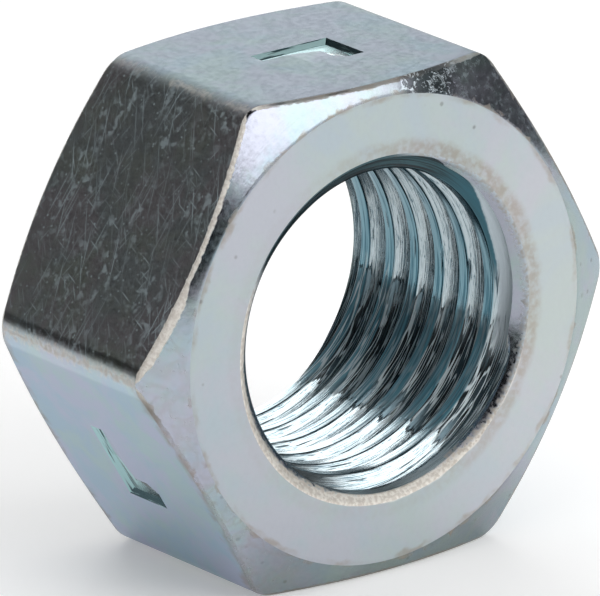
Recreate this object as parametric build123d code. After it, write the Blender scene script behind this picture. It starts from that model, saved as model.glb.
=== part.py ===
from build123d import *
from math import radians, sqrt, tan
import os

# Hexagon nut of zinc-plated steel, one piece, standing on one of its six flats.
# Millimetres and degrees. The origin is the middle of the bore, the bore runs along Y,
# the face that is seen from the front looks along -Y, and one marked flat is on top.

# Hexagon
across_flats = 31.6          # a 32 mm spanner size, which real nuts run a little under
nut_height = 16.9            # from one bearing face to the other
edge_radius = 2.0            # the six long edges are rounded by the forging

# Bearing faces, turned on both ends
bearing_diameter = 29.9      # flat ring that bears on the work
chamfer_angle = 26.0         # slope of the cone outside that ring, from the face

# Thread, kept here as the bore through its crests
thread_diameter = 22.0
thread_pitch = 2.5
crest_allowance = 0.45       # how much wider than the basic crest diameter the hole is drilled
countersink_angle = 90.0     # whole angle of both countersinks
front_countersink_depth = 1.2
back_countersink_depth = 0.6

# Lock marks, pressed into every other flat after threading
mark_depth = 0.3
mark_wall = 0.35             # plan width of the steep outer wall of the groove
mark_end_width = 1.25        # width of the groove where it stops
mark_corner_width = 1.9      # width of the groove just beside its corner
mark_reach_across = 5.5      # groove bottom, from the corner to the end that runs round the nut
mark_reach_along = 3.5       # groove bottom, from the corner to the end nearer the front face
mark_corner_across = 2.8     # groove corner from the middle of the flat, round the nut
mark_corner_back = 1.25      # groove corner behind the middle of the flat

# Each mark: direction of its flat, which way its corner lies, and how far it sits forward
TOP_MARK = (90.0, -1, 0.3)
LEFT_MARK = (210.0, 1, -0.3)
RIGHT_MARK = (330.0, 1, 0.0)

# Basic crest diameter of a 60 degree thread, in pitches under its outside diameter
CREST_DEPTH_IN_PITCHES = 1.0825

# How far a cutting form is carried on past the metal that it cuts
FORM_MARGIN = 2.0
PUNCH_RISE = 1.5             # height of the punch nose, in depths of the mark

half_height = nut_height / 2
bearing_radius = bearing_diameter / 2
crest_radius = (thread_diameter - CREST_DEPTH_IN_PITCHES * thread_pitch + crest_allowance) / 2


def hexagon_bar():
    """Six-sided bar as long as the nut, with its long edges rounded."""
    corner_distance = across_flats / sqrt(3)
    section = RegularPolygon(radius=corner_distance, side_count=6)
    section = fillet(section.vertices(), radius=edge_radius)
    return extrude(Plane.XZ * section, amount=half_height, both=True)


def turned_form():
    """Round form with a flat ring and a cone at each end, wide enough to leave the flats alone."""
    outside_radius = max(across_flats / sqrt(3), bearing_radius) + FORM_MARGIN
    cone_drop = (outside_radius - bearing_radius) * tan(radians(chamfer_angle))
    half_profile = make_face(
        Polyline(
            (0, -half_height),
            (bearing_radius, -half_height),
            (outside_radius, -half_height + cone_drop),
            (outside_radius, half_height - cone_drop),
            (bearing_radius, half_height),
            (0, half_height),
            close=True,
        )
    )
    return revolve(half_profile, axis=Axis.Y)


def rim_radius(countersink_depth):
    """Radius of a countersink where it meets its bearing face."""
    return crest_radius + countersink_depth * tan(radians(countersink_angle / 2))


def bore():
    """Round hole through the thread's crests, opened out to a countersink at both ends."""
    half_profile = make_face(
        Polyline(
            (0, -half_height),
            (rim_radius(front_countersink_depth), -half_height),
            (crest_radius, -half_height + front_countersink_depth),
            (crest_radius, half_height - back_countersink_depth),
            (rim_radius(back_countersink_depth), half_height),
            (0, half_height),
            close=True,
        )
    )
    return revolve(half_profile, axis=Axis.Y)


def groove_section(bottom, outward, width):
    """Cut across the groove: a steep outer wall, a bottom line and a long gentle inner wall.

    The triangle is carried on above the flat, so that the cutter comes out of the metal.
    """
    outer = bottom + outward * mark_wall * PUNCH_RISE
    inner = bottom - outward * (width - mark_wall) * PUNCH_RISE
    lift = Vector(0, 0, mark_depth * PUNCH_RISE)
    return make_face(Polyline(bottom, outer + lift, inner + lift, close=True))


def mark_cutter():
    """Corner-shaped punch nose, lying on a flat: X runs round the nut, Y towards the front, Z out."""
    corner = Vector(mark_corner_across, -mark_corner_back, -mark_depth)
    far_end = corner - Vector(mark_reach_across, 0, 0)
    front_end = corner + Vector(0, mark_reach_along, 0)
    mitre = groove_section(corner, Vector(1, -1, 0), mark_corner_width)
    arm_across = loft([groove_section(far_end, Vector(0, -1, 0), mark_end_width), mitre], ruled=True)
    arm_along = loft([mitre, groove_section(front_end, Vector(1, 0, 0), mark_end_width)], ruled=True)
    return arm_across + arm_along


def flat_plane(direction):
    """Plane on one flat, facing out, with its X round the nut and its Y towards the front."""
    outward = Vector(1, 0, 0).rotate(Axis.Y, -direction)
    return Plane(origin=outward * across_flats / 2, x_dir=outward.cross(Vector(0, 1, 0)), z_dir=outward)


def hex_nut():
    """The nut: bar and turned form in common, less the bore and the lock marks."""
    nut = (hexagon_bar() & turned_form()) - bore()
    cutter = mark_cutter()
    for direction, corner_side, forward in (TOP_MARK, LEFT_MARK, RIGHT_MARK):
        punch = cutter if corner_side > 0 else mirror(cutter, about=Plane.YZ)
        nut -= flat_plane(direction) * Pos(0, forward, 0) * punch
    return nut


os.makedirs("parts", exist_ok=True)
nut = hex_nut()
nut.label = "hex_nut"
export_step(nut, "parts/hex_nut.step")
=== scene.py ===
from math import atan2, cos, degrees, hypot, pi, radians, sin, sqrt, tan

import bmesh
import bpy
from mathutils import Matrix, Vector


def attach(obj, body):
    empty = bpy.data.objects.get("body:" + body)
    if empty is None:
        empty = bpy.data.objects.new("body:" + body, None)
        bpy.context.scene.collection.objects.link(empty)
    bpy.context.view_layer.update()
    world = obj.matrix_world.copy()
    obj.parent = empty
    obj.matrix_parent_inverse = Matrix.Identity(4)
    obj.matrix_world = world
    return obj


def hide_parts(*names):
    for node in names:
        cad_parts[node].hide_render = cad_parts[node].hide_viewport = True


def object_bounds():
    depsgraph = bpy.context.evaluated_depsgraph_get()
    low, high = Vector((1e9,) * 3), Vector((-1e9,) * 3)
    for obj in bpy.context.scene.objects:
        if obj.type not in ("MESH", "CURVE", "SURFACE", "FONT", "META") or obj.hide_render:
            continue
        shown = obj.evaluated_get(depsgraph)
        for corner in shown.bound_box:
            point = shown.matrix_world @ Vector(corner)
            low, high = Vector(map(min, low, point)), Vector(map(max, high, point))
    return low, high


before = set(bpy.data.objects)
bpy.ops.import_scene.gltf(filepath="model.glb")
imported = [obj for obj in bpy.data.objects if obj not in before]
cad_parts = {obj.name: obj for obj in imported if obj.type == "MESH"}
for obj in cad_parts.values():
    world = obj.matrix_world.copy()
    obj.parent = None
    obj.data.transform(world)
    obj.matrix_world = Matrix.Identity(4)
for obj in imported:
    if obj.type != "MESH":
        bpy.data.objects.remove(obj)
CAD_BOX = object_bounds()

bl_info = {
    "name": "Hexagon nut",
    "version": (1, 0, 0),
    "blender": (4, 5, 0),
    "location": "View3D > Sidebar > Hexagon nut",
    "description": "A zinc-plated hexagon nut with a threaded bore and three lock marks",
    "category": "Object",
}

# The mesh is worked on in millimetres, which suits Blender's merge and cut distances,
# and is brought to metres once it is finished.
MM = 0.001
MERGE_DISTANCE = 0.002       # in millimetres


# Sizes and colours


def length_property(name, description, default):
    """Length that a user can change, in metres."""
    return bpy.props.FloatProperty(
        name=name, description=description, default=default, unit="LENGTH")


def angle_property(name, description, default):
    """Angle that a user can change, given in the code in degrees."""
    return bpy.props.FloatProperty(
        name=name, description=description, default=radians(default), unit="ROTATION")


def linear(colour):
    """Linear colour, with alpha, from an sRGB hex value."""
    parts = [int(colour[i:i + 2], 16) / 255 for i in (1, 3, 5)]
    return [c / 12.92 if c <= 0.04045 else ((c + 0.055) / 1.055) ** 2.4 for c in parts] + [1.0]


def colour_property(name, description, default):
    """Colour that a user can change, given in the code as an sRGB hex value."""
    return bpy.props.FloatVectorProperty(
        name=name, description=description, default=linear(default), size=4, subtype="COLOR",
        min=0.0, max=1.0)


class NutSizes(bpy.types.PropertyGroup):
    """Sizes of the nut, in metres. Those that the part's source has too are the same there."""

    across_flats: length_property("Across flats", "Distance between two opposite flats", 0.0316)
    height: length_property("Height", "Distance between the two bearing faces", 0.0169)
    edge_radius: length_property("Edge radius", "Rounding of the six long edges", 0.002)
    bearing_diameter: length_property(
        "Bearing diameter", "Outside of the flat ring on each end", 0.0299)
    chamfer_angle: angle_property("Chamfer angle", "Slope of the cone outside the bearing ring", 26)
    corner_break: length_property(
        "Corner break", "Small rounding where two machined surfaces meet", 0.00022)
    rim_rounding: length_property(
        "Rim rounding", "Rounding where the front countersink meets its face", 0.0005)
    crest_radius: length_property("Crest radius", "Radius of the bore through the crests", 0.009872)
    root_radius: length_property(
        "Root radius", "Radius at the bottom of the thread's grooves", 0.0110)
    pitch: length_property("Pitch", "How far the thread climbs in one turn", 0.0025)
    thread_start: length_property(
        "Thread start", "Place along the bore of a crest at the right-hand side", 0.0015)
    front_countersink: length_property(
        "Front countersink", "Depth of the countersink in front", 0.0012)
    back_countersink: length_property(
        "Back countersink", "Depth of the countersink at the back", 0.0006)


class NutColours(bpy.types.PropertyGroup):
    """Colours of the plated steel, some of them painted light and shade."""

    plate: colour_property("Plate", "Bright zinc plate", "#b8c3c7")
    film_blue: colour_property("Film, blue", "Bluest colour of the film on the plate", "#97b2c6")
    film_lilac: colour_property("Film, lilac", "Most violet colour of the film", "#b4aec8")
    film_green: colour_property("Film, green", "Greenest colour of the film", "#a4bcb8")
    # Painted shade: the upper left flat is drawn darker and browner with this.
    film_brown_painted_shade: colour_property("Film, brown", "Shade laid over the upper left flat", "#f2e8df")
    # Painted shade: the cones are drawn darker with this, most at the bottom.
    shade: colour_property("Shade", "Laid over the cones, most at the bottom", "#cbcbc8")
    # Painted shade: the top flat is drawn darker with this.
    film_top_painted_shade: colour_property("Film, top", "Shade laid over the top flat", "#ced5d8")
    # Painted light: the lower left flat is drawn paler with this.
    film_pale_painted_light: colour_property("Film, pale", "Palest colour, on the lower left flat", "#cfe6f8")
    film_dim: colour_property("Film, dim", "Shade in the film's fine mottling", "#f8f8f9")
    bloom: colour_property("Rubbed plate", "Plate that is rubbed dull", "#b9cbd2")
    # Also painted light and highlights: on the upper left arch, the countersink's lip and the wall
    # at the rim.
    worn: colour_property("Worn edge", "Plate that is worn off on the edges", "#fcf8f0")
    stain: colour_property("Stain", "Dried plating salts", "#a08f7c")
    edge_dirt: colour_property("Dirt on edges", "Along the ends of the flats", "#8d8880")
    # Partly painted light: pale on the countersink's lip and the last flank, and the glints of the
    # knocked flakes.
    salts: colour_property("Salts", "Pale salts just inside the front rim", "#c6d1d8")
    pit: colour_property("Pit", "Dirt in the pits", "#5d5850")
    thread: colour_property("Thread", "Flanks of the thread", "#b9c6cb")
    thread_line: colour_property("Thread lines", "Fine lines that the tap left", "#5f7680")
    # Painted reflection of shade, fading at the bottom of the bore.
    crest: colour_property("Crest", "Crests of the thread", "#7699a5")
    # Lines on the crests, and painted shade in the band on the last flank.
    crest_lines_and_painted_shade: colour_property("Crest lines", "Lines on the crests", "#3d6675")
    # Painted reflection of shade on the crests at the right.
    crest_painted_reflection: colour_property("Crest, shaded", "Crests where the thread is torn", "#62a9bf")
    # Also painted shade, in the band on the last flank.
    torn: colour_property("Torn steel", "Where the tap left the thread rough", "#2f3538")
    # Painted glints: bright lines in the torn thread.
    painted_glint_colour: colour_property("Torn edges", "Bright lines in the torn thread", "#e6f2f6")
    # Painted light: the pale long arm of the groove.
    mark: colour_property("Lock mark", "Pressed groove", "#b9dcde")
    # Lines along the groove, and painted shade in the groove's short arm, the countersink at the
    # top and the band on the last flank.
    mark_lines_and_painted_shade: colour_property("Lock mark lines", "Lines along the groove", "#3d565c")


class StudioSettings(bpy.types.PropertyGroup):
    """Camera and floor."""

    azimuth: angle_property("Azimuth", "Camera's turn about the upright axis", -36.86)
    elevation: angle_property("Elevation", "Camera's height above the floor's level", 18.63)
    roll: angle_property("Roll", "Camera's turn about its own view", -1.017)
    distance: length_property("Distance", "From the camera to the middle of the bore", 0.8584)
    focal_length: bpy.props.FloatProperty(
        name="Focal length", description="Camera's focal length in millimetres, on a 36 mm sensor",
        default=834.2, unit="CAMERA")
    aim_right: length_property(
        "Aim right", "How far the view is moved to the right of the bore's middle", -0.000153)
    aim_up: length_property(
        "Aim up", "How far the view is moved up from the bore's middle", -0.000099)
    floor_size: length_property("Floor size", "Side of the square floor", 6.0)


# Modelling


def deselect_all():
    """Leaves edit mode and selects nothing."""
    if bpy.context.object and bpy.context.object.mode != "OBJECT":
        bpy.ops.object.mode_set(mode="OBJECT")
    bpy.ops.object.select_all(action="DESELECT")


def activate(obj):
    """Makes obj the only selected object, and the active one."""
    deselect_all()
    obj.select_set(True)
    bpy.context.view_layer.objects.active = obj


def edit(obj, mode):
    """Enters edit mode on obj with nothing selected and returns its bmesh."""
    activate(obj)
    bpy.ops.object.mode_set(mode="EDIT")
    bpy.ops.mesh.select_mode(type=mode)
    bpy.ops.mesh.select_all(action="DESELECT")
    return bmesh.from_edit_mesh(obj.data)


def select_all():
    """Selects the whole mesh, in edit mode."""
    bpy.ops.mesh.select_all(action="SELECT")


def done(obj):
    """Goes back to object mode and returns obj."""
    bpy.ops.object.mode_set(mode="OBJECT")
    return obj


def apply_modifier(obj, kind, **settings):
    """Adds a modifier, sets it and applies it."""
    activate(obj)
    modifier = obj.modifiers.new(kind.lower(), kind)
    for name, value in settings.items():
        setattr(modifier, name, value)
    bpy.ops.object.modifier_apply(modifier=modifier.name)


def cut(obj, tool):
    """Cuts obj with tool, and removes the tool."""
    apply_modifier(obj, "BOOLEAN", object=tool, operation="DIFFERENCE", solver="EXACT")
    bpy.data.objects.remove(tool)
    edit(obj, "VERT")
    select_all()
    bpy.ops.mesh.remove_doubles(threshold=MERGE_DISTANCE)
    return done(obj)


def face_outward(obj):
    """Turns all normals outward, also where the faces are too oblique for the operator to tell."""
    mesh = edit(obj, "FACE")
    select_all()
    bpy.ops.mesh.normals_make_consistent(inside=False)
    if mesh.calc_volume(signed=True) < 0:
        bpy.ops.mesh.flip_normals()
    return done(obj)


def radius_of(point):
    """Distance from the bore's axis."""
    return hypot(point.x, point.z)


# The nut's surfaces

THREAD_STEPS = 120           # facets in one turn of the thread
FLAT_STEPS = 30              # columns across one flat
EDGE_STEPS = 12              # columns round one long edge
FLAT_ROWS = 6                # rows between the front and back arches of a flat
BLANK_WALL = 0.9             # metal left inside the crests for the tap to cut, in millimetres
SIXTH = radians(60)          # from one flat to the next
FLAT_TURNS = [radians(30 + 60 * i) for i in range(6)]

FLANK_ANGLE = radians(30)    # half of the 60 degrees between two flanks of the thread
THREAD_ROUNDING = 0.07       # at the edges of the crest and the root, in millimetres
TAP_OVERRUN = 0.8            # how far the tap reaches past both ends, in millimetres
# Heights in millimetres of the shallow ridges on a flank, from the crest to the root
TAP_RIDGES = (0.006, -0.004, 0.007, -0.006, 0.003, -0.007, 0.006, -0.002)

# Lock marks, in millimetres and with the names that the part's source has for them
MARK_DEPTH = 0.3
MARK_WALL = 0.35             # plan width of the steep outer wall of the groove
MARK_END_WIDTH = 1.25        # width of the groove where it stops
MARK_CORNER_WIDTH = 1.9      # width of the groove just beside its corner
MARK_REACH_ACROSS = 5.5      # groove bottom, from the corner to the end that runs round the nut
MARK_REACH_ALONG = 3.5       # groove bottom, from the corner to the end nearer the front face
MARK_CORNER_ACROSS = 2.8     # groove corner from the middle of the flat, round the nut
MARK_CORNER_BACK = 1.25      # groove corner behind the middle of the flat
PUNCH_RISE = 1.5             # height of the punch nose, in depths of the mark

# Each mark: direction of its flat, which way its corner lies, and how far it sits forward
LOCK_MARKS = ((radians(90), -1, 0.3), (radians(210), 1, -0.3), (radians(330), 1, 0.0))


def polar(turn, radius, along=0.0):
    """Point at that turn about the bore's axis, radius from it and place along it."""
    return Vector((radius * cos(turn), along, radius * sin(turn)))


def round_corner(before, corner, after, radius, steps):
    """Points of the arc that rounds a corner, from the side of before to the side of after."""
    back, on = (before - corner).normalized(), (after - corner).normalized()
    turn = pi - back.angle(on)
    reach = radius * tan(turn / 2)
    centre = corner + (back + on).normalized() * radius / cos(turn / 2)
    first, last = corner + back * reach - centre, corner + on * reach - centre
    first, last = first.normalized(), last.normalized()
    return [centre + first.slerp(last, i / steps) * radius for i in range(steps + 1)]


def hexagon_outline(sizes):
    """Points once round the hexagon with its rounded edges, closer together on the edges."""
    flat = sizes.across_flats / MM / 2
    corner = flat / cos(SIXTH / 2)
    corners = [polar(t + SIXTH / 2, corner) for t in FLAT_TURNS]
    points = []
    for i, here in enumerate(corners):
        arc = round_corner(corners[i - 1], here, corners[(i + 1) % 6],
                           sizes.edge_radius / MM, EDGE_STEPS)
        if points:
            points += [points[-1].lerp(arc[0], k / FLAT_STEPS) for k in range(1, FLAT_STEPS)]
        points += arc
    return points + [points[-1].lerp(points[0], k / FLAT_STEPS) for k in range(1, FLAT_STEPS)]


def nut_section(sizes, outside):
    """Loop of points (radius, along the bore) through the metal on one side, closed round it.

    outside is how far the hexagon reaches there. The loop runs from the front countersink
    over the bearing ring and the cone to the side of the hexagon, and back along the bore.
    """
    half, crest = sizes.height / MM / 2, sizes.crest_radius / MM
    bearing = sizes.bearing_diameter / MM / 2
    blank_bore = crest - BLANK_WALL
    arch = half - (outside - bearing) * tan(sizes.chamfer_angle)
    rounding = sizes.corner_break / MM
    ring, side = Vector((bearing, half, 0)), Vector((outside, arch, 0))
    halves = []
    # The back rim is rounded less than the front one, which is rubbed. An obtuse corner takes a
    # larger radius for a rounding that is as broad.
    for countersink, worn in ((sizes.front_countersink, 1.0), (sizes.back_countersink, 0.3)):
        rim = Vector((crest + countersink / MM, half, 0))
        bore_end = Vector((blank_bore, half - (rim.x - blank_bore), 0))
        halves.append([bore_end]
                      + round_corner(bore_end, rim, ring, sizes.rim_rounding / MM * worn, 7)
                      + round_corner(rim, ring, side, rounding * 5, 4)
                      + round_corner(ring, side, Vector((outside, 0, 0)), rounding * 1.6, 5))
    front = [Vector((p.x, -p.y, 0)) for p in halves[0]]
    side = [front[-1].lerp(halves[1][-1], k / FLAT_ROWS) for k in range(1, FLAT_ROWS)]
    return front + side + halves[1][::-1]


def nut_blank(sizes):
    """Hexagon blank with its cones and countersinks, bored small.

    It starts as a torus, whose rings are then laid over the nut's section, one ring for each
    point of the hexagon's outline.
    """
    outline = hexagon_outline(sizes)
    rings = [[polar(atan2(p.z, p.x), q.x, q.y) for q in nut_section(sizes, hypot(p.x, p.z))]
             for p in outline]
    deselect_all()
    bpy.ops.mesh.primitive_torus_add(
        major_segments=len(rings), minor_segments=len(rings[0]), major_radius=12, minor_radius=2)
    blank = bpy.context.object
    places = [point for ring in rings for point in ring]
    for vertex, place in zip(blank.data.vertices, places, strict=True):
        vertex.co = place
    edit(blank, "VERT")
    select_all()
    bpy.ops.mesh.normals_make_consistent(inside=False)
    return done(blank)


def trace(points):
    """Chain of edges through the points, drawn by extruding one vertex from each to the next."""
    deselect_all()
    bpy.ops.mesh.primitive_plane_add(size=1, location=(0, 0, 0))
    line = bpy.context.object
    bpy.ops.object.mode_set(mode="EDIT")
    bpy.ops.mesh.select_mode(type="VERT")
    select_all()
    bpy.ops.mesh.merge(type="CENTER")
    bpy.ops.transform.translate(value=points[0])
    for start, end in zip(points, points[1:]):
        way = Vector(end) - Vector(start)
        bpy.ops.mesh.extrude_vertices_move(TRANSFORM_OT_translate={"value": way})
    return done(line)


def thread_profile(sizes):
    """One pitch of the thread as (along the bore, radius), from one crest's middle to the next.

    The crest and the root are flat, joined to the flanks by small roundings, and the flanks
    keep the shallow ridges that the tap's teeth leave.
    """
    pitch = sizes.pitch / MM
    crest, root = sizes.crest_radius / MM, sizes.root_radius / MM
    root_half = pitch / 16
    crest_half = pitch / 2 - root_half - (root - crest) * tan(FLANK_ANGLE)
    rounding = THREAD_ROUNDING
    flank_start = Vector((crest_half, crest))
    flank_end = Vector((pitch / 2 - root_half, root))
    length = (flank_end - flank_start).length
    direction = (flank_end - flank_start) / length
    out_of_metal = Vector((direction.y, -direction.x))
    # The two middle points lie on the rounding of the crest's edge.
    half = [Vector((0, crest)), Vector((crest_half - rounding, crest)),
            Vector((crest_half - rounding * 0.32, crest + rounding * 0.10)),
            flank_start + direction * rounding * 0.75]
    for i, height in enumerate(TAP_RIDGES, 1):
        share = rounding + (length - 2 * rounding) * i / (len(TAP_RIDGES) + 1)
        half.append(flank_start + direction * share + out_of_metal * height)
    half += [flank_end - direction * rounding, Vector((pitch / 2 - root_half * 0.35, root)),
             Vector((pitch / 2, root))]
    return half + [Vector((pitch - p.x, p.y)) for p in reversed(half[:-1])]


def smooth(turn, low, high):
    """Smooth rise from 0 to 1 of a turn about the bore, between two angles in degrees."""
    share = min(max((degrees(turn) - low) / (high - low), 0), 1)
    return share * share * (3 - 2 * share)


def tap(sizes):
    """Solid in the shape of the threaded hole: one pitch of the profile, screwed along the bore."""
    pitch, half = sizes.pitch / MM, sizes.height / MM / 2
    start, crest = sizes.thread_start / MM, sizes.crest_radius / MM
    # The screw starts over a pitch ahead of the tap's front end, so that it is whole there.
    while start > -half - TAP_OVERRUN - 1.2 * pitch:
        start -= pitch
    line = trace([(p.y, start + p.x, 0) for p in thread_profile(sizes)])
    apply_modifier(line, "SCREW", axis="Y", angle=2 * pi, steps=THREAD_STEPS,
                   render_steps=THREAD_STEPS, iterations=10, screw_offset=pitch,
                   use_merge_vertices=False)
    edit(line, "VERT")
    select_all()
    bpy.ops.mesh.remove_doubles(threshold=MERGE_DISTANCE / 4)
    # The last ridge in front is knocked down to a low step, but for a stretch at the right.
    # share is how much of it is gone at each turn, in degrees up from the right-hand side.
    mesh = bmesh.from_edit_mesh(line.data)
    step_radius = sizes.root_radius / MM - 0.1
    last_root = 3.5 * pitch - sizes.thread_start / MM
    for vertex in mesh.verts:
        place, radius = vertex.co, radius_of(vertex.co)
        turn = atan2(place.z, place.x)
        share = 0.68 * smooth(turn, -170, -80) + 0.32 * smooth(turn, -30, 20)
        share *= 1 - smooth(turn, -25, 0) + smooth(turn, 45, 70)
        beyond = -place.y - pitch * turn / (2 * pi) - last_root
        low = crest + (step_radius - crest + 0.15 * beyond) * share
        if beyond > 0 and radius < low:
            place.x, place.z = place.x * low / radius, place.z * low / radius
    bmesh.update_edit_mesh(line.data)
    for side in (-1, 1):
        select_all()
        bpy.ops.mesh.bisect(plane_co=(0, side * (half + TAP_OVERRUN), 0), plane_no=(0, side, 0),
                            use_fill=True, clear_outer=True, clear_inner=False)
    select_all()
    bpy.ops.mesh.normals_make_consistent(inside=False)
    return done(line)


def pressed_mark_tool(sizes, turn, corner_side, forward):
    """Nose of the punch that presses one lock mark, standing in the flat at that turn.

    The groove has a steep outer wall, a sharp bottom and a long gentle inner wall, and turns a
    corner. It is one triangle, carried on round the corner by extruding it twice.
    """
    corner = Vector((MARK_CORNER_ACROSS, -MARK_CORNER_BACK, -MARK_DEPTH))
    across, along = Vector((MARK_REACH_ACROSS, 0, 0)), Vector((0, MARK_REACH_ALONG, 0))
    # Bottom of the groove, the way to its outer wall, and its width at each place
    stops = ((corner - across, Vector((0, -1, 0)), MARK_END_WIDTH),
             (corner, Vector((1, -1, 0)), MARK_CORNER_WIDTH),
             (corner + along, Vector((1, 0, 0)), MARK_END_WIDTH))
    out = polar(turn, 1.0)
    round_nut = polar(turn + radians(90), 1.0)

    def on_flat(p):
        """Takes a point from the mark's axes (round the nut, to the front, out) to the nut's."""
        return (out * (sizes.across_flats / MM / 2 + p.z) + round_nut * p.x * corner_side
                + Vector((0, -p.y - forward, 0)))

    deselect_all()
    bpy.ops.mesh.primitive_circle_add(vertices=3, radius=1, fill_type="NGON")
    tool = bpy.context.object
    bpy.ops.object.mode_set(mode="EDIT")
    bpy.ops.mesh.select_mode(type="FACE")
    select_all()
    for i, (bottom, outward, width) in enumerate(stops):
        if i:
            bpy.ops.mesh.extrude_region_move(TRANSFORM_OT_translate={"value": (0, 0, 1)})
        lift = Vector((0, 0, MARK_DEPTH * PUNCH_RISE))
        places = (bottom, bottom + outward * MARK_WALL * PUNCH_RISE + lift,
                  bottom - outward * (width - MARK_WALL) * PUNCH_RISE + lift)
        mesh = bmesh.from_edit_mesh(tool.data)
        end = next(f for f in mesh.faces if f.select)
        for vertex, place in zip(end.verts, places, strict=True):
            vertex.co = on_flat(place)
        bmesh.update_edit_mesh(tool.data)
    return face_outward(tool)


# Materials

# Settings that nodes of these kinds have here unless a call says otherwise
USUAL_SETTINGS = {"MapRange": {"interpolation_type": "SMOOTHSTEP"}, "Mix": {"data_type": "RGBA"}}

# A noise whose features are one millimetre in size has this scale.
CELL = 0.5


def add(tree, kind, *values, inputs=None, **settings):
    """Adds a node with its settings and links.

    The values go in order to the inputs that the node then has in use, and inputs gives others
    by name. A node as a value stands for the first of its outputs in use.
    """
    node = tree.nodes.new("ShaderNode" + kind)
    for name, value in {**USUAL_SETTINGS.get(kind, {}), **settings}.items():
        setattr(node, name, value)
    pairs = list(zip([socket for socket in node.inputs if socket.enabled], values))
    pairs += [(node.inputs[name], value) for name, value in (inputs or {}).items()]
    for socket, value in pairs:
        if isinstance(value, bpy.types.Node):
            value = next(output for output in value.outputs if output.enabled)
        if isinstance(value, bpy.types.NodeSocket):
            tree.links.new(value, socket)
        else:
            socket.default_value = value
    return node


def joined(tree, *groups):
    """Mask as strong as the strongest of the groups.

    A group is one mask, or several masks and weights in brackets that are multiplied.
    """
    strongest = None
    for group in groups:
        mask, *others = group if isinstance(group, tuple) else (group,)
        for other in others:
            mask = add(tree, "Math", mask, other, operation="MULTIPLY")
        if strongest is not None:
            mask = add(tree, "Math", strongest, mask, operation="MAXIMUM")
        strongest = mask
    return strongest


def coated(tree, colour, *coats):
    """Colour with coats laid over it in order, each as strongly as its mask says."""
    for mask, coat in coats:
        colour = add(tree, "Mix", mask, colour, coat)
    return colour


def contour(tree, pattern, level, beyond, within):
    """Mask of the line where a pattern has that level: 1 within one margin, 0 beyond the other."""
    off = add(tree, "Math", pattern, level, operation="SUBTRACT")
    off = add(tree, "Math", off, operation="ABSOLUTE")
    return add(tree, "MapRange", off, beyond, within)


def ragged_edge(tree, place, noise, amount, *ramp):
    """Ramp of a place or a mask on the nut, made ragged by adding an amount of a noise first."""
    place = add(tree, "Math", noise, amount, place, operation="MULTIPLY_ADD")
    return add(tree, "MapRange", place, *ramp)


def empty_material(name):
    """Material with an empty tree, and that tree."""
    material = bpy.data.materials.new(name)
    material.use_nodes = True
    material.node_tree.nodes.clear()
    return material, material.node_tree


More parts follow.
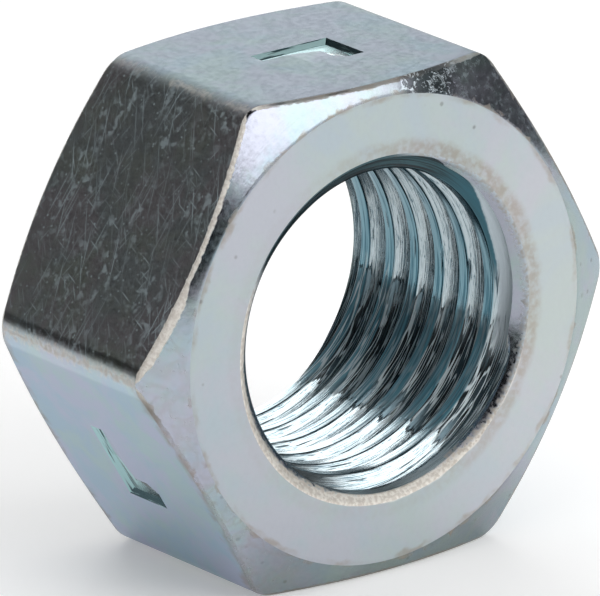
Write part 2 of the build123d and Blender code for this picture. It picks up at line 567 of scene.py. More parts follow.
class Surface:
    """A material's tree, with the places on the nut that its patterns are laid out by.

    All but turn are in millimetres: mm is the object's own place, along the place on the bore's
    axis, radius the distance from that axis, turn the angle about it, flat the distance from the
    axis square to the nearest flat, beside the distance from that flat's middle, below the
    distance under the cone that ends the flats, and unrolled the side of the nut laid out flat.
    half_flats, bearing, crest, rim and pitch are sizes of the nut, the first four as radii.
    """

    # The flats are laid out side by side this far apart, so that no two share a pattern.
    FLAT_SPACING = 40.0

    def __init__(self, name, sizes):
        self.material, self.tree = empty_material(name)
        tree = self.tree
        self.half_flats = sizes.across_flats / MM / 2
        self.bearing = sizes.bearing_diameter / MM / 2
        self.crest = sizes.crest_radius / MM
        self.rim = self.crest + sizes.front_countersink / MM
        self.pitch = sizes.pitch / MM
        place = add(tree, "TexCoord").outputs["Object"]
        self.mm = add(tree, "Mapping", place, inputs={"Scale": (1 / MM,) * 3})
        x, self.along, z = add(tree, "SeparateXYZ", self.mm).outputs
        square = add(tree, "Math", z, z, operation="MULTIPLY")
        square = add(tree, "Math", x, x, square, operation="MULTIPLY_ADD")
        self.radius = add(tree, "Math", square, operation="SQRT")
        self.turn = add(tree, "Math", z, x, operation="ARCTAN2")
        number = add(tree, "Math", self.turn, SIXTH, operation="DIVIDE")
        number = add(tree, "Math", number, operation="FLOOR")
        off = add(tree, "Math", self.turn, SIXTH, operation="FLOORED_MODULO")
        off = add(tree, "Math", off, SIXTH / 2, operation="SUBTRACT")
        shares = [add(tree, "Math", off, operation=name) for name in ("COSINE", "SINE")]
        self.flat, self.beside = [
            add(tree, "Math", self.radius, share, operation="MULTIPLY") for share in shares]
        slope = tan(sizes.chamfer_angle)
        foot = sizes.height / MM / 2 + self.bearing * slope
        cone = add(tree, "Math", self.radius, -slope, foot, operation="MULTIPLY_ADD")
        height = add(tree, "Math", self.along, operation="ABSOLUTE")
        self.below = add(tree, "Math", cone, height, operation="SUBTRACT")
        round_nut = add(
            tree, "Math", number, self.FLAT_SPACING, self.beside, operation="MULTIPLY_ADD")
        self.unrolled = add(tree, "CombineXYZ", round_nut, self.along)

    def moved(self, shift, place=None):
        """The place in millimetres, shifted so that patterns of one kind don't fall together."""
        return add(self.tree, "Mapping", place or self.mm, (shift,) * 3)

    def patches(self, size, detail, shift, levels, strengths=(0.0, 1.0), place=None, **inputs):
        """Mask of patches about that size in millimetres.

        It goes from the first strength to the second between the two levels of a noise.
        """
        noise = add(self.tree, "TexNoise", self.moved(shift, place), CELL / size, detail,
                    inputs=inputs)
        return add(self.tree, "MapRange", noise, *levels, *strengths)

    def sector(self, middle, whole, none):
        """Mask that is 1 within so many degrees of a turn about the bore, 0 beyond the others."""
        off = add(self.tree, "Math", self.turn, radians(middle), operation="SUBTRACT")
        near = add(self.tree, "Math", off, operation="COSINE")
        return add(self.tree, "MapRange", near, cos(radians(none)), cos(radians(whole)))

    def dots(self, vector, spacing, size, shift=0.0, flat=False):
        """Mask of dots about that far apart, each with its own strength."""
        moved = add(self.tree, "Mapping", vector, (shift, shift, 0))
        cells = add(self.tree, "TexVoronoi", moved, 1 / spacing,
                    voronoi_dimensions="2D" if flat else "3D")
        near = add(self.tree, "MapRange", cells, size / spacing, size / spacing * 0.4)
        return joined(self.tree, (near, cells.outputs["Color"]))

    def scratches(self, turns, length, width, spacing):
        """Mask of thin straight scratches on the flats: dots drawn out along each of the turns."""
        lines = []
        for i, turn in enumerate(turns):
            shift = (i * 7.3, i * 3.1, 0)
            turned = add(self.tree, "Mapping", self.unrolled, shift, (0, 0, turn))
            drawn = add(self.tree, "Mapping", turned, inputs={"Scale": (width / length, 1, 1)})
            lines.append(self.dots(drawn, spacing, width, flat=True))
        return joined(self.tree, *lines)

    def finish(self, colour, roughness, metallic, height, depth):
        """Ends the tree with the shader. depth is that of the bumps in millimetres."""
        bump = add(self.tree, "Bump", 1.0, depth * MM, inputs={"Height": height})
        shader = add(self.tree, "BsdfPrincipled", colour, metallic, roughness,
                     inputs={"Normal": bump})
        add(self.tree, "OutputMaterial", shader)
        return self.material


def film_colours(surface, colours, size, shift=0.0, even=0.50):
    """Colours of the thin passivated film, which drift over the plate, and their fine mottling.

    size is that of the drifting patches, and even how much of the film's colour is lost in the
    plate's own.
    """
    tree = surface.tree
    green = surface.patches(size, 6.0, shift, (0.38, 0.60), Roughness=0.65, Distortion=0.5)
    lilac = surface.patches(size * 1.2, 6.0, shift + 40.0, (0.42, 0.60), (0.0, 0.95),
                            Roughness=0.65, Distortion=0.3)
    film = coated(tree, colours.film_blue, (green, colours.film_green),
                  (lilac, colours.film_lilac), (even, colours.plate))
    mottle = add(tree, "TexNoise", surface.mm, CELL / 0.16, 4.0)
    dim = add(tree, "MapRange", mottle, 0.32, 0.62, 1.0, 0.0, interpolation_type="LINEAR")
    return add(tree, "Mix", dim, film, colours.film_dim, blend_type="MULTIPLY"), mottle


def worn_edges(surface, cone=False):
    """Masks of the ragged rubbed lines along the arches and long edges, the upper left arch also a
    painted highlight.
    """
    tree = surface.tree
    ragged = add(tree, "TexNoise", surface.mm, CELL / 0.18, 4.0)
    patchy = add(tree, "TexNoise", surface.moved(4.0), CELL / 1.7, 3.0)
    if cone:
        broad = surface.sector(169, 4, 12)
        arch = add(tree, "Math", broad, 0.30, surface.flat, operation="MULTIPLY_ADD")
        arch = ragged_edge(tree, arch, ragged, 0.25, surface.half_flats - 0.12,
                           surface.half_flats - 0.04)
    else:
        arch = ragged_edge(tree, surface.below, ragged, 0.30, 0.34, 0.26)
    often = add(tree, "MapRange", patchy, 0.38, 0.56, 0.2, 0.8)
    arch = joined(tree, (arch, joined(tree, surface.sector(150, 31, 37), often)))
    edge = add(tree, "Math", surface.beside, operation="ABSOLUTE")
    edge = ragged_edge(tree, edge, ragged, 1.4, 9.2, 9.8)
    often = add(tree, "MapRange", patchy, 0.40, 0.58, 0.05, 0.40)
    edge = joined(tree, (edge, joined(tree, often, (surface.sector(182, 7, 10), 0.7))))
    return arch, edge


def last_flank(surface):
    """Masks of the last flank in front: painted shade band, pale rest out to the rim, wall at the
    rim.

    The band is as broad as the flank at the top and narrows towards the right, where the flank
    is drawn as pale as the bearing ring: partly dried salts, partly painted light. The wall at
    the rim is drawn near white as painted light.
    """
    tree = surface.tree
    ragged = add(tree, "TexNoise", surface.moved(15.0), CELL / 0.25, 4.0)
    forward = add(tree, "Math", surface.along, -1.0, operation="MULTIPLY")
    off_root = add(tree, "Math", surface.turn, -surface.pitch / (2 * pi), forward,
                   operation="MULTIPLY_ADD")
    last = add(tree, "MapRange", off_root, 6.40, 6.50)
    band = add(tree, "MapRange", surface.turn, radians(18), radians(62), 10.2, 11.1)
    out = add(tree, "Math", surface.radius, band, operation="SUBTRACT")
    out = ragged_edge(tree, out, ragged, 0.15, -0.03, 0.17)
    in_band = add(tree, "Math", 1.0, out, operation="SUBTRACT")
    painted_shade_band = joined(tree, (last, in_band, surface.sector(95, 84, 100)))
    pale = joined(tree, (last, out, surface.sector(30, 42, 56)))
    wall_painted_light = joined(tree, (pale, add(tree, "MapRange", off_root, 7.20, 7.32)))
    return painted_shade_band, joined(tree, (pale, 0.9)), wall_painted_light


def flat_material(sizes, colours):
    """Forged flat under bright zinc plate.

    The eye gets a soft satin shine, thin blue, lilac and greenish film colours that drift over
    several millimetres, fine scratches and dots where the plate is rubbed dull, and pale worn
    lines along the edges. The top and upper left flats are drawn darker with painted shade,
    the lower left one paler with painted light, and the worn line on the upper left arch is
    also a painted highlight.
    """
    surface = Surface("zinc_plated_forged_flat", sizes)
    tree = surface.tree
    upper_left, lower_left = surface.sector(150, 27, 33), surface.sector(210, 27, 33)
    even = add(tree, "Math", lower_left, -0.34, 0.62, operation="MULTIPLY_ADD")
    film, mottle = film_colours(surface, colours, 2.2, even=even)
    # The top and upper left flats are drawn darker with painted shade.
    top = surface.sector(90, 27, 33)
    for flat, shade in ((top, colours.film_top_painted_shade), (upper_left, colours.film_brown_painted_shade)):
        film = add(tree, "Mix", flat, film, shade, blend_type="MULTIPLY")

    # The scratches are drawn some twice as wide as real ones, so that they show at all.
    long_ones = surface.scratches((-0.15, 0.25, 0.50), 2.2, 0.045, 0.30)
    short_ones = surface.scratches((1.2, -0.5, 0.7), 0.8, 0.040, 0.36)
    dots = surface.dots(surface.unrolled, 0.75, 0.10, flat=True)
    bloom = surface.patches(0.32, 7.0, 9.0, (0.50, 0.66), place=surface.unrolled, Distortion=0.3)
    cloud = surface.patches(1.6, 4.0, 2.0, (0.38, 0.60), (0.15, 1.0), surface.unrolled,
                            Distortion=0.4)
    rubbed = joined(tree, long_ones, short_ones, dots)
    share = add(tree, "Math", cloud, 0.4, 0.6, operation="MULTIPLY_ADD")
    rubbed = joined(tree, (rubbed, share), (bloom, cloud, 0.62))
    share = add(tree, "Math", upper_left, 0.92, 0.08, operation="MULTIPLY_ADD")
    rubbed = joined(tree, (rubbed, share))

    arch, edge = worn_edges(surface)
    edges = joined(tree, arch, edge)
    arch = joined(tree, (arch, add(tree, "MapRange", lower_left, 0.0, 1.0, 1.0, 0.35)))
    salts = add(tree, "TexNoise", surface.moved(17.0), CELL / 0.6, 7.0,
                inputs={"Distortion": 0.6})
    salts = ragged_edge(tree, surface.below, salts, 2.6, 2.1, 1.1, 0.0, 0.5)
    salts = joined(tree, (salts, lower_left))
    colour = coated(
        tree, film,
        # Painted light: the lower left flat is drawn paler.
        (joined(tree, (lower_left, 0.26)), colours.film_pale_painted_light),
        (rubbed, colours.bloom),
        (edge, add(tree, "Mix", 0.3, colours.worn, colours.stain)),
        # On the upper left arch the near-white worn colour is also a painted highlight.
        (arch, add(tree, "Mix", upper_left, colours.edge_dirt, colours.worn)),
        (salts, colours.stain))

    dull = joined(tree, (rubbed, 0.75), edges, (salts, 0.6))
    metallic = add(tree, "MapRange", dull, 0.0, 1.0, 1.0, 0.0)
    rough = add(tree, "MapRange", mottle, 0.3, 0.7, 0.50, 0.58)
    rough = add(tree, "Math", dull, 0.2, rough, operation="MULTIPLY_ADD")
    # The left edge is polished by rubbing, so that light and dark meet sharply on it.
    long_edge = add(tree, "Math", surface.beside, operation="ABSOLUTE")
    long_edge = add(tree, "MapRange", long_edge, 7.7, 8.2)
    polished = joined(tree, (surface.sector(180, 7, 12), long_edge))
    rough = joined(tree, (rough, add(tree, "MapRange", polished, 0.0, 1.0, 1.0, 0.55)))
    return surface.finish(colour, rough, metallic, mottle, 0.002)


def ring_material(sizes, colours):
    """Bearing ring, faced flat and then tumbled with other nuts before it was plated.

    The eye gets a pale even grey, nearly matt, with a brown stain where plating salts dried
    round the countersink, beige lines along the outside of the ring and a few small pits.
    """
    surface = Surface("zinc_plated_bearing_ring", sizes)
    tree = surface.tree
    film, mottle = film_colours(surface, colours, 3.4, 5.0, 0.62)
    ragged = add(tree, "TexNoise", surface.moved(2.0), CELL / 0.8, 5.0,
                 inputs={"Distortion": 0.4})
    speckle = surface.patches(0.20, 4.0, 7.0, (0.30, 0.66), (0.25, 1.0))
    patchy = surface.patches(1.4, 3.0, 8.0, (0.42, 0.58))

    # Two wandering rings of stain, round the countersink and inside the outer edge: middle of
    # each, half its width and how far it wanders.
    rings = []
    for middle, width, wander in ((surface.rim + 0.45, 0.80, 0.7),
                                  (surface.bearing - 0.1, 0.30, 1.0)):
        off = add(tree, "Math", ragged, wander, surface.radius, operation="MULTIPLY_ADD")
        rings.append(contour(tree, off, middle + wander / 2, width, width * 0.2))
    inner, outer = rings
    right = add(tree, "Math", surface.sector(20, 30, 110), 0.50, 0.08, operation="MULTIPLY_ADD")
    faint = add(tree, "Math", speckle, 0.35, 0.15, operation="MULTIPLY_ADD")
    stain = joined(tree, (inner, speckle, right), (outer, patchy, faint))

    rubbed_rim = ragged_edge(tree, surface.radius, ragged, 0.5, surface.rim + 0.42,
                             surface.rim + 0.30)
    share = add(tree, "Math", speckle, 0.3, 0.5, operation="MULTIPLY_ADD")
    rubbed_rim = joined(tree, (rubbed_rim, share, surface.sector(-60, 20, 60)))
    pits = joined(tree, (surface.dots(surface.mm, 1.7, 0.2, 3.0),
                         surface.patches(2.5, 2.0, 6.0, (0.44, 0.56))))
    colour = coated(
        tree, film,
        (0.12, colours.worn),
        (rubbed_rim, colours.worn),
        (stain, colours.stain),
        (joined(tree, (surface.sector(-10, 0, 78), 0.12)), colours.worn),
        (joined(tree, (pits, 0.6)), colours.pit))

    rough = add(tree, "MapRange", mottle, 0.3, 0.7, 0.38, 0.48)
    rough = add(tree, "Math", stain, 0.15, rough, operation="MULTIPLY_ADD")
    metallic = add(tree, "Math", stain, -0.3, 0.94, operation="MULTIPLY_ADD")
    height = add(tree, "Math", pits, -1.5, mottle, operation="MULTIPLY_ADD")
    return surface.finish(colour, rough, metallic, height, 0.006)


def cone_material(sizes, colours):
    """Cones of the chamfers and countersinks, turned with a pointed tool.

    The eye gets a brighter shine than on the flats, faint rings round the bore's axis, and
    beige stains and pits close to the ring and along the arches. Painted shade darkens the
    cones, most at the bottom, and the countersink at the top. The countersink's pale lip is
    partly painted light, and the knocked flakes have painted glints.
    """
    surface = Surface("zinc_plated_turned_cone", sizes)
    tree = surface.tree
    half_flats, bearing, rim = surface.half_flats, surface.bearing, surface.rim
    film, mottle = film_colours(surface, colours, 2.6, 11.0)
    rings = add(tree, "TexNoise", surface.radius, 4.0, 3.0, noise_dimensions="1D")
    sink = add(tree, "MapRange", surface.radius, rim + 1.0, rim + 0.5)
    # Painted shade: the cones are drawn darker but on the lower left, and darker still at the
    # bottom.
    painted_shade_but_lower_left = add(tree, "MapRange", surface.sector(210, 42, 58), 0.0, 1.0, 0.40, 0.0)
    film = add(tree, "Mix", painted_shade_but_lower_left, film, colours.shade, blend_type="MULTIPLY")
    # Painted shade: the countersink at the top is drawn dark teal.
    painted_shade_at_top = joined(tree, (sink, surface.sector(113, 28, 46)))
    film = add(tree, "Mix", painted_shade_at_top, film, colours.mark_lines_and_painted_shade)
    low = add(tree, "MapRange", sink, 0.0, 1.0, 0.9, 0.2)
    low = joined(tree, (surface.sector(-90, 25, 50), low))
    film = add(tree, "Mix", low, film, colours.shade, blend_type="MULTIPLY")

    ragged = add(tree, "TexNoise", surface.moved(13.0), CELL / 0.5, 5.0,
                 inputs={"Distortion": 0.5})
    by_ring = joined(tree, tuple(
        ragged_edge(tree, surface.radius, ragged, 1.6, bearing + start, bearing + end)
        for start, end in ((1.0, 0.75), (-1.0, 0.2))))
    by_flat = ragged_edge(tree, surface.flat, ragged, 1.2, half_flats + 0.35, half_flats + 0.60)
    patchy = surface.patches(1.5, 3.0, 3.0, (0.42, 0.60))
    vein = add(tree, "TexNoise", surface.moved(21.0), CELL / 1.0, 6.0, inputs={"Distortion": 0.8})
    vein = contour(tree, vein, 0.5, 0.10, 0.0)
    stain = joined(tree, (joined(tree, by_ring, by_flat), patchy),
                   (vein, 0.20, surface.sector(205, 30, 50)))

    # The outer part of the front countersink is drawn pale and whitest at the bottom: partly
    # rubbed plate and dried salts with stain speckles, partly painted light.
    inside = add(tree, "MapRange", surface.turn, radians(-85), radians(-35), 10.45, 10.95)
    narrower = add(tree, "MapRange", surface.turn, radians(110), radians(145), 0.0, 0.7)
    inside = add(tree, "Math", inside, narrower, operation="SUBTRACT")
    fine = add(tree, "TexNoise", surface.moved(23.0), CELL / 0.13, 5.0)
    lip = add(tree, "Math", surface.radius, inside, operation="SUBTRACT")
    lip = ragged_edge(tree, lip, fine, 0.9, 0.25, 0.65)
    lip = joined(tree, (lip, sink, surface.sector(-65, 138, 155)))
    fine = add(tree, "MapRange", fine, 0.38, 0.62)
    share = add(tree, "Math", surface.sector(10, 50, 85), 0.2, 0.35, operation="MULTIPLY_ADD")
    on_lip = coated(tree, colours.salts, (surface.sector(-120, 70, 95), colours.worn),
                    (joined(tree, (fine, share)), colours.stain))

    # Upper right the corner was knocked: flakes with painted glints, pale among dark ones, and dull
    # patches beyond them.
    flakes = surface.patches(0.20, 4.0, 31.0, (0.52, 0.62), Distortion=1.6)
    knocked = add(tree, "MapRange", surface.radius, 13.0, 14.0)
    knocked = joined(tree, (surface.sector(76, 1, 10), knocked))
    dull_patch = surface.patches(0.30, 7.0, 33.0, (0.42, 0.72), (0.0, 0.4), Roughness=0.7,
                                 Distortion=0.4)
    dull_patch = joined(tree, (dull_patch, surface.sector(59, 14, 22)))

    arch, _ = worn_edges(surface, cone=True)
    share = add(tree, "MapRange", surface.sector(215, 20, 32), 0.0, 1.0, 1.0, 0.3)
    arch = joined(tree, (arch, share))
    # On the upper left arch the pale worn colour is also a painted highlight.
    on_arch = add(tree, "Mix", joined(tree, (fine, 0.3)), colours.worn, colours.stain)
    on_arch = add(tree, "Mix", surface.sector(150, 30, 36), colours.edge_dirt, on_arch)
    pits = surface.dots(surface.mm, 1.3, 0.2, 1.0)
    colour = coated(
        tree, film,
        (lip, on_lip),
        (joined(tree, (stain, 0.6)), colours.stain),
        (arch, on_arch),
        (dull_patch, colours.bloom),
        (joined(tree, (knocked, 0.85)), add(tree, "Mix", flakes, colours.torn, colours.salts)),
        (joined(tree, (pits, 0.5)), colours.pit))

    dull = joined(tree, (stain, 0.4), arch, (lip, 0.5), (dull_patch, 0.6))
    metallic = add(tree, "MapRange", dull, 0.0, 1.0, 1.0, 0.0)
    rough = add(tree, "MapRange", mottle, 0.3, 0.7, 0.18, 0.26)
    rough = add(tree, "Math", joined(tree, (lip, 1.3), dull), 0.3, rough,
                operation="MULTIPLY_ADD")
    height = add(tree, "Math", rings, 0.8, mottle, operation="MULTIPLY_ADD")
    raised = joined(tree, (flakes, knocked))
    height = add(tree, "Math", raised, 5.0, height, operation="MULTIPLY_ADD")
    return surface.finish(colour, rough, metallic, height, 0.005)


def thread_material(sizes, colours):
    """Cut thread under thin, bluish plate.

    The eye gets a bright shine with fine dark lines that climb with the thread, blue-green
    crests, and a torn patch low on the right where the tap left the steel rough. The blue-green
    of the crests is a painted reflection of shade, the band at the top of the last flank is
    painted shade, the pale rest of that flank is partly painted light and the wall at the rim
    painted light, and the white lines in the torn patch are painted glints.
    """
    surface = Surface("zinc_plated_tapped_thread", sizes)
    tree = surface.tree
    # A place that climbs with the thread and drifts slowly along it, for lines that follow it.
    climb = add(tree, "Math", surface.along, 2 * pi / surface.pitch, surface.turn,
                operation="MULTIPLY_ADD")
    deep = add(tree, "Math", surface.radius, 2.6, 1.0 - 2.6 * surface.crest,
               operation="MULTIPLY_ADD")
    round_bore = [
        add(tree, "Math", add(tree, "Math", climb, operation=name), deep, operation="MULTIPLY")
        for name in ("COSINE", "SINE")]
    helix = add(tree, "CombineXYZ", *round_bore)
    slow, faster = [add(tree, "VectorMath", surface.mm, (share,) * 3, operation="MULTIPLY")
                    for share in (0.10, 0.12)]
    helix = add(tree, "VectorMath", helix, slow, operation="ADD")
    lines = add(tree, "TexNoise", helix, 2.2, 3.0, 0.6)
    flecks = add(tree, "VectorMath", helix, faster, operation="ADD")
    flecks = add(tree, "TexNoise", flecks, 1.3, 1.0, 0.6)
    thin_lines = contour(tree, lines, 0.50, 0.024, 0.006)
    white_lines = contour(tree, flecks, 0.50, 0.060, 0.015)
    black_lines = contour(tree, flecks, 0.39, 0.080, 0.030)

    # Painted reflection of shade: the crests are drawn blue-green, less at the bottom, and on the
    # right brighter and less metallic.
    crest = add(tree, "MapRange", surface.radius, surface.crest + 0.10, surface.crest + 0.02)
    at_bottom = add(tree, "MapRange", surface.sector(-95, 20, 48), 0.0, 1.0, 1.0, 0.15)
    crest = joined(tree, (crest, at_bottom))
    right = surface.sector(-35, 12, 28)
    torn = ragged_edge(tree, right, flecks, 1.8, 1.20, 1.45)
    torn_flank = joined(tree, (torn, add(tree, "MapRange", crest, 0.0, 1.0, 0.9, 0.25)))
    far = joined(tree, add(tree, "MapRange", surface.along, 0.0, 5.0, 0.2, 0.9),
                 add(tree, "MapRange", crest, 1.0, 0.0))
    # Painted glints: near-white, less metallic lines on the torn thread.
    painted_glints = joined(tree, (surface.sector(-35, 16, 32), white_lines, far))
    painted_shade_band, salts, wall_painted_light = last_flank(surface)

    on_flank = add(tree, "MapRange", lines, 0.32, 0.42)
    on_flank = add(tree, "Mix", on_flank, colours.thread_line, colours.thread)
    on_crest = add(tree, "Mix", right, colours.crest, colours.crest_painted_reflection)
    bright = add(tree, "MapRange", lines, 0.38, 0.60)
    on_crest = add(tree, "Mix", bright, colours.crest_lines_and_painted_shade, on_crest)
    bright = add(tree, "MapRange", lines, 0.40, 0.60)
    # Painted shade: the band at the top of the last flank is drawn dark teal.
    band = add(tree, "Mix", add(tree, "MapRange", surface.turn, radians(40), radians(65)),
               add(tree, "Mix", lines, colours.mark_lines_and_painted_shade, colours.crest_lines_and_painted_shade),
               add(tree, "Mix", bright, colours.torn, colours.mark_lines_and_painted_shade))
    colour = coated(
        tree, on_flank,
        (thin_lines, colours.thread_line),
        (crest, on_crest),
        (painted_shade_band, band),
        (torn_flank, add(tree, "Mix", black_lines, colours.thread_line, colours.torn)),
        (painted_glints, colours.painted_glint_colour),
        # Painted light: the pale rest of the last flank, and the near-white wall at the rim.
        (salts, add(tree, "Mix", wall_painted_light, colours.salts, colours.worn)))

    shaded_crest = joined(tree, (crest, right))
    in_front = add(tree, "MapRange", surface.along, -7.0, -7.4, 0.0, 0.4)
    rough = joined(tree, salts, shaded_crest, in_front, painted_glints)
    rough = joined(tree, (rough, add(tree, "MapRange", wall_painted_light, 0.0, 1.0, 1.0, 0.15)))
    smoother = add(tree, "MapRange", lines, 0.3, 0.7, 0.20, 0.13)
    rough = add(tree, "Math", rough, 0.42, smoother, operation="MULTIPLY_ADD")
    dull = joined(tree, (shaded_crest, 0.75), (torn_flank, 0.4), (painted_glints, 0.8), wall_painted_light)
    metallic = add(tree, "MapRange", dull, 0.0, 1.0, 1.0, 0.0)
    deep_flecks = joined(tree, (flecks, 3.0))
    height = add(tree, "Math", torn, deep_flecks, lines, operation="MULTIPLY_ADD")
    return surface.finish(colour, rough, metallic, height, 0.016)


def groove_material(sizes, colours):
    """Grooves of the lock marks, pressed in with a hard polished punch.

    The eye gets a blue-green shine, pale in the long arm and dark in the short one, with lines
    along the groove where the punch dragged. The pale and the dark are painted light and
    shade, chosen by which way the groove's walls face.
    """
    surface = Surface("zinc_plated_pressed_groove", sizes)
    tree = surface.tree
    # Painted light and shade: walls that face along the bore are drawn pale, the others dark.
    normal = add(tree, "TexCoord").outputs["Normal"]
    long_arm = add(tree, "SeparateXYZ", normal).outputs["Y"]
    long_arm = add(tree, "Math", long_arm, operation="ABSOLUTE")
    long_arm = add(tree, "MapRange", long_arm, 0.08, 0.14)
    drawn = [add(tree, "VectorMath", surface.unrolled, scale, operation="MULTIPLY")
             for scale in ((6.0, 0.3, 1.0), (0.3, 6.0, 1.0))]
    drawn = add(tree, "Mix", long_arm, *drawn, data_type="VECTOR")
    streaks = add(tree, "TexNoise", drawn, 1.0, 3.0)
    pale = add(tree, "Math", long_arm, 0.16, streaks, operation="MULTIPLY_ADD")
    pale = add(tree, "MapRange", pale, 0.54, 0.64)
    colour = add(tree, "Mix", pale, colours.mark_lines_and_painted_shade, colours.mark)
    rough = add(tree, "MapRange", long_arm, 0.0, 1.0, 0.25, 0.45)
    return surface.finish(colour, rough, 0.8, streaks, 0.012)


def plating(nut, sizes, colours):
    """Gives each face of the nut the finish of the surface that it belongs to."""
    names = ("flat", "ring", "cone", "thread", "groove")
    for make in (flat_material, ring_material, cone_material, thread_material, groove_material):
        nut.data.materials.append(make(sizes, colours))
    half = sizes.height / 2
    for face in nut.data.polygons:
        place, normal = face.center, face.normal
        from_axis = radius_of(place)
        from_flats = max(abs(place.x * cos(t) + place.z * sin(t)) for t in FLAT_TURNS[:3])
        beside_flat = sqrt(max(from_axis ** 2 - from_flats ** 2, 0))
        countersink = sizes.back_countersink if place.y > 0 else sizes.front_countersink
        sink = countersink - (half - abs(place.y))
        # Distances under a quarter of a millimetre are slack for roundings. A lock mark lies
        # within 6 mm beside the middle of its flat and 4 mm along the bore.
        in_sink = sink > 0 and from_axis - sizes.crest_radius - sink < 0.12 * MM
        under_flat = sizes.across_flats / 2 - from_flats > 0.02 * MM
        near_mark = beside_flat < 6 * MM and abs(place.y) < 4 * MM
        if abs(normal.y) > 0.97 and abs(place.y) > half - 0.05 * MM:
            kind = "ring"
        elif from_axis < sizes.root_radius + 0.2 * MM:
            kind = "cone" if in_sink else "thread"
        elif under_flat and near_mark:
            kind = "groove"
        elif abs(normal.y) > 0.3:
            kind = "cone"
        else:
            kind = "flat"
        face.material_index = names.index(kind)


# Operators


class NUT_OT_nut(bpy.types.Operator):
    """Model the nut: turned hexagon blank, tapped, with lock marks pressed into it"""

    bl_idname = "hexagon_nut.make_nut"
    bl_label = "Make the nut"

    def execute(self, context):
        sizes = context.scene.nut_sizes
        colours = context.scene.nut_colours
        nut = nut_blank(sizes)
        cut(nut, tap(sizes))
        for mark in LOCK_MARKS:
            cut(nut, pressed_mark_tool(sizes, *mark))
        activate(nut)
        bpy.ops.transform.resize(value=(MM, MM, MM), center_override=(0, 0, 0))
        bpy.ops.object.transform_apply(location=True, rotation=True, scale=True)
        plating(nut, sizes, colours)
        bpy.ops.object.shade_smooth_by_angle(angle=radians(30))
        apply_modifier(nut, "WEIGHTED_NORMAL", keep_sharp=True, weight=60)
        nut.name = nut.data.name = "plated_nut"
        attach(nut, "root")
        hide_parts("hex_nut")
        return {"FINISHED"}


def facing(bearing, rise, distance):
    """Matrix of something that faces the nut from that direction, with its own -Z towards it."""
    bearing, rise = radians(bearing), radians(rise)
    out = Vector((sin(bearing) * cos(rise), -cos(bearing) * cos(rise), sin(rise)))
    turn = out.to_track_quat("Z", "Y").to_matrix().to_4x4()
    turn.translation = out * distance
    return turn


# The studio. Bearing in degrees from the front towards the right, height in degrees above the
# floor's level, distance, width and height in metres, and then radiance or shade.
LAMPS = (
    ("lamp_front_right", 20, 32, 0.55, 0.58, 0.25, 1.6),
    ("lamp_back_right", 154, 19, 0.55, 0.32, 0.40, 1.7),
    ("lamp_overhead", 0, 90, 0.55, 1.00, 1.00, 1.0))
DARK_CARDS = (
    ("dark_card_left", -122.5, 24, 0.50, 1.11, 0.66, "#303030"),
    ("dark_card_front", -4, 7, 0.57, 0.24, 0.20, "#1a1a1a"),
    ("dark_card_right", 86, 17, 0.50, 0.85, 0.46, "#606060"),
    ("dark_card_camera", -38, 18, 0.50, 0.62, 0.50, "#1a1a1a"),
    ("dark_card_overhead", 0, 90, 0.60, 0.90, 0.90, "#1a1a1a"))

# How much the floor glows where the camera sees it, itself or in the metal, to come out white
FLOOR_GLOW = 0.25


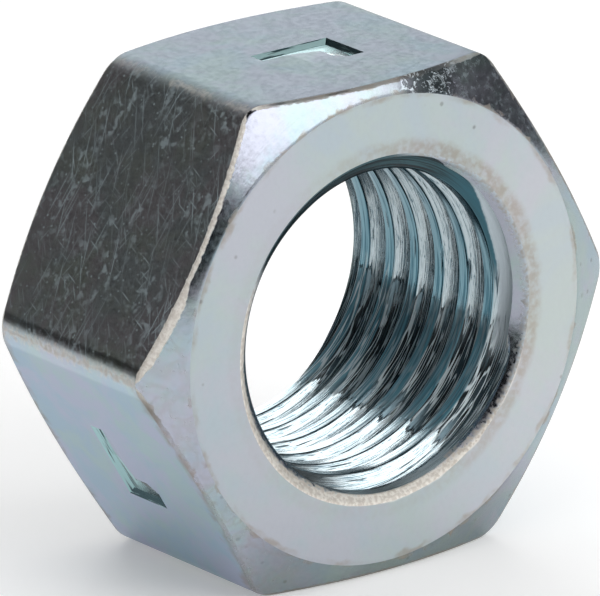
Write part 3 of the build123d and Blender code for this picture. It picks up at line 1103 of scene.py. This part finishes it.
class NUT_OT_stage(bpy.types.Operator):
    """Set up the floor, the lamps, the dark cards and the camera"""

    bl_idname = "hexagon_nut.set_stage"
    bl_label = "Set the stage"

    def execute(self, context):
        studio = context.scene.nut_studio
        self.lay_floor(studio, level=CAD_BOX[0][2])
        self.light(context.scene)
        self.place_camera(context.scene, studio)
        context.scene.view_settings.view_transform = "Standard"
        return {"FINISHED"}

    def lay_floor(self, studio, level):
        """White paper under the nut, at the level that it stands on."""
        deselect_all()
        bpy.ops.mesh.primitive_plane_add(size=studio.floor_size, location=(0, 0, level))
        floor = bpy.context.object
        floor.name = "studio_floor"
        material, tree = empty_material("studio_floor_paper")
        rays = add(tree, "LightPath").outputs
        seen = add(tree, "Math", rays["Is Camera Ray"], rays["Is Glossy Ray"], operation="MAXIMUM")
        seen = add(tree, "Math", seen, rays["Is Transmission Ray"], operation="MAXIMUM")
        glow = add(tree, "Math", seen, FLOOR_GLOW, operation="MULTIPLY")
        shader = add(tree, "BsdfPrincipled", inputs={
            "Base Color": linear("#f4f4f4"), "Roughness": 1.0, "Specular IOR Level": 0.0,
            "Emission Color": linear("#ffffff"), "Emission Strength": glow})
        add(tree, "OutputMaterial", shader)
        floor.data.materials.append(material)

    def light(self, scene):
        """A white surround with dark cards in it, which bright metal needs to show its shape."""
        world = bpy.data.worlds.new("studio_tent")
        scene.world = world
        world.use_nodes = True
        background = world.node_tree.nodes["Background"]
        background.inputs["Color"].default_value = linear("#ffffff")
        background.inputs["Strength"].default_value = 1.0
        for name, bearing, rise, distance, width, height, radiance in LAMPS:
            lamp = bpy.data.lights.new(name, "AREA")
            lamp.shape = "RECTANGLE"
            lamp.size, lamp.size_y = width, height
            lamp.energy = radiance * pi * width * height
            obj = bpy.data.objects.new(name, lamp)
            scene.collection.objects.link(obj)
            obj.matrix_world = facing(bearing, rise, distance)
            # The overhead lamp only fills, and is kept out of the metal's reflections.
            obj.visible_glossy = name != "lamp_overhead"
        for name, bearing, rise, distance, width, height, shade in DARK_CARDS:
            deselect_all()
            bpy.ops.mesh.primitive_plane_add(size=1.0)
            card = bpy.context.object
            bpy.ops.transform.resize(value=(width, height, 1))
            bpy.ops.object.transform_apply(location=False, rotation=False, scale=True)
            card.matrix_world = facing(bearing, rise, distance)
            card.name = name
            material, tree = empty_material(name)
            shader = add(tree, "BsdfPrincipled", inputs={
                "Base Color": linear(shade), "Roughness": 1.0, "Specular IOR Level": 0.0})
            add(tree, "OutputMaterial", shader)
            card.data.materials.append(material)
            card.visible_camera = False

    def place_camera(self, scene, studio):
        """Camera of the photograph, as it was fitted to the nut's outline and bore."""
        camera = bpy.data.cameras.new("photo_camera")
        camera.lens = studio.focal_length
        camera.sensor_width = 36.0
        camera.clip_start, camera.clip_end = 0.01, 20.0
        obj = bpy.data.objects.new("photo_camera", camera)
        scene.collection.objects.link(obj)
        turn = (Matrix.Rotation(studio.azimuth, 3, "Z")
                @ Matrix.Rotation(radians(90) - studio.elevation, 3, "X")
                @ Matrix.Rotation(studio.roll, 3, "Z"))
        obj.matrix_world = turn.to_4x4()
        obj.location = turn @ Vector((studio.aim_right, studio.aim_up, studio.distance))
        scene.camera = obj


class NUT_PT_panel(bpy.types.Panel):
    """The nut's sizes and the studio, with the buttons that make them"""

    bl_idname = "NUT_PT_panel"
    bl_label = "Hexagon nut"
    bl_space_type = "VIEW_3D"
    bl_region_type = "UI"
    bl_category = "Hexagon nut"

    def draw(self, context):
        scene = context.scene
        for groups, operator in (((scene.nut_sizes, scene.nut_colours), NUT_OT_nut.bl_idname),
                                 ((scene.nut_studio,), NUT_OT_stage.bl_idname)):
            column = self.layout.column()
            for settings in groups:
                for name in settings.__annotations__:
                    column.prop(settings, name)
            column.operator(operator)


CLASSES = (NutSizes, NutColours, StudioSettings, NUT_OT_nut, NUT_OT_stage, NUT_PT_panel)


def register():
    for cls in CLASSES:
        bpy.utils.register_class(cls)
    bpy.types.Scene.nut_sizes = bpy.props.PointerProperty(type=NutSizes)
    bpy.types.Scene.nut_colours = bpy.props.PointerProperty(type=NutColours)
    bpy.types.Scene.nut_studio = bpy.props.PointerProperty(type=StudioSettings)


def unregister():
    del bpy.types.Scene.nut_studio
    del bpy.types.Scene.nut_colours
    del bpy.types.Scene.nut_sizes
    for cls in reversed(CLASSES):
        bpy.utils.unregister_class(cls)


def main():
    register()
    bpy.ops.hexagon_nut.make_nut()
    bpy.ops.hexagon_nut.set_stage()


if __name__ == "__main__":
    main()
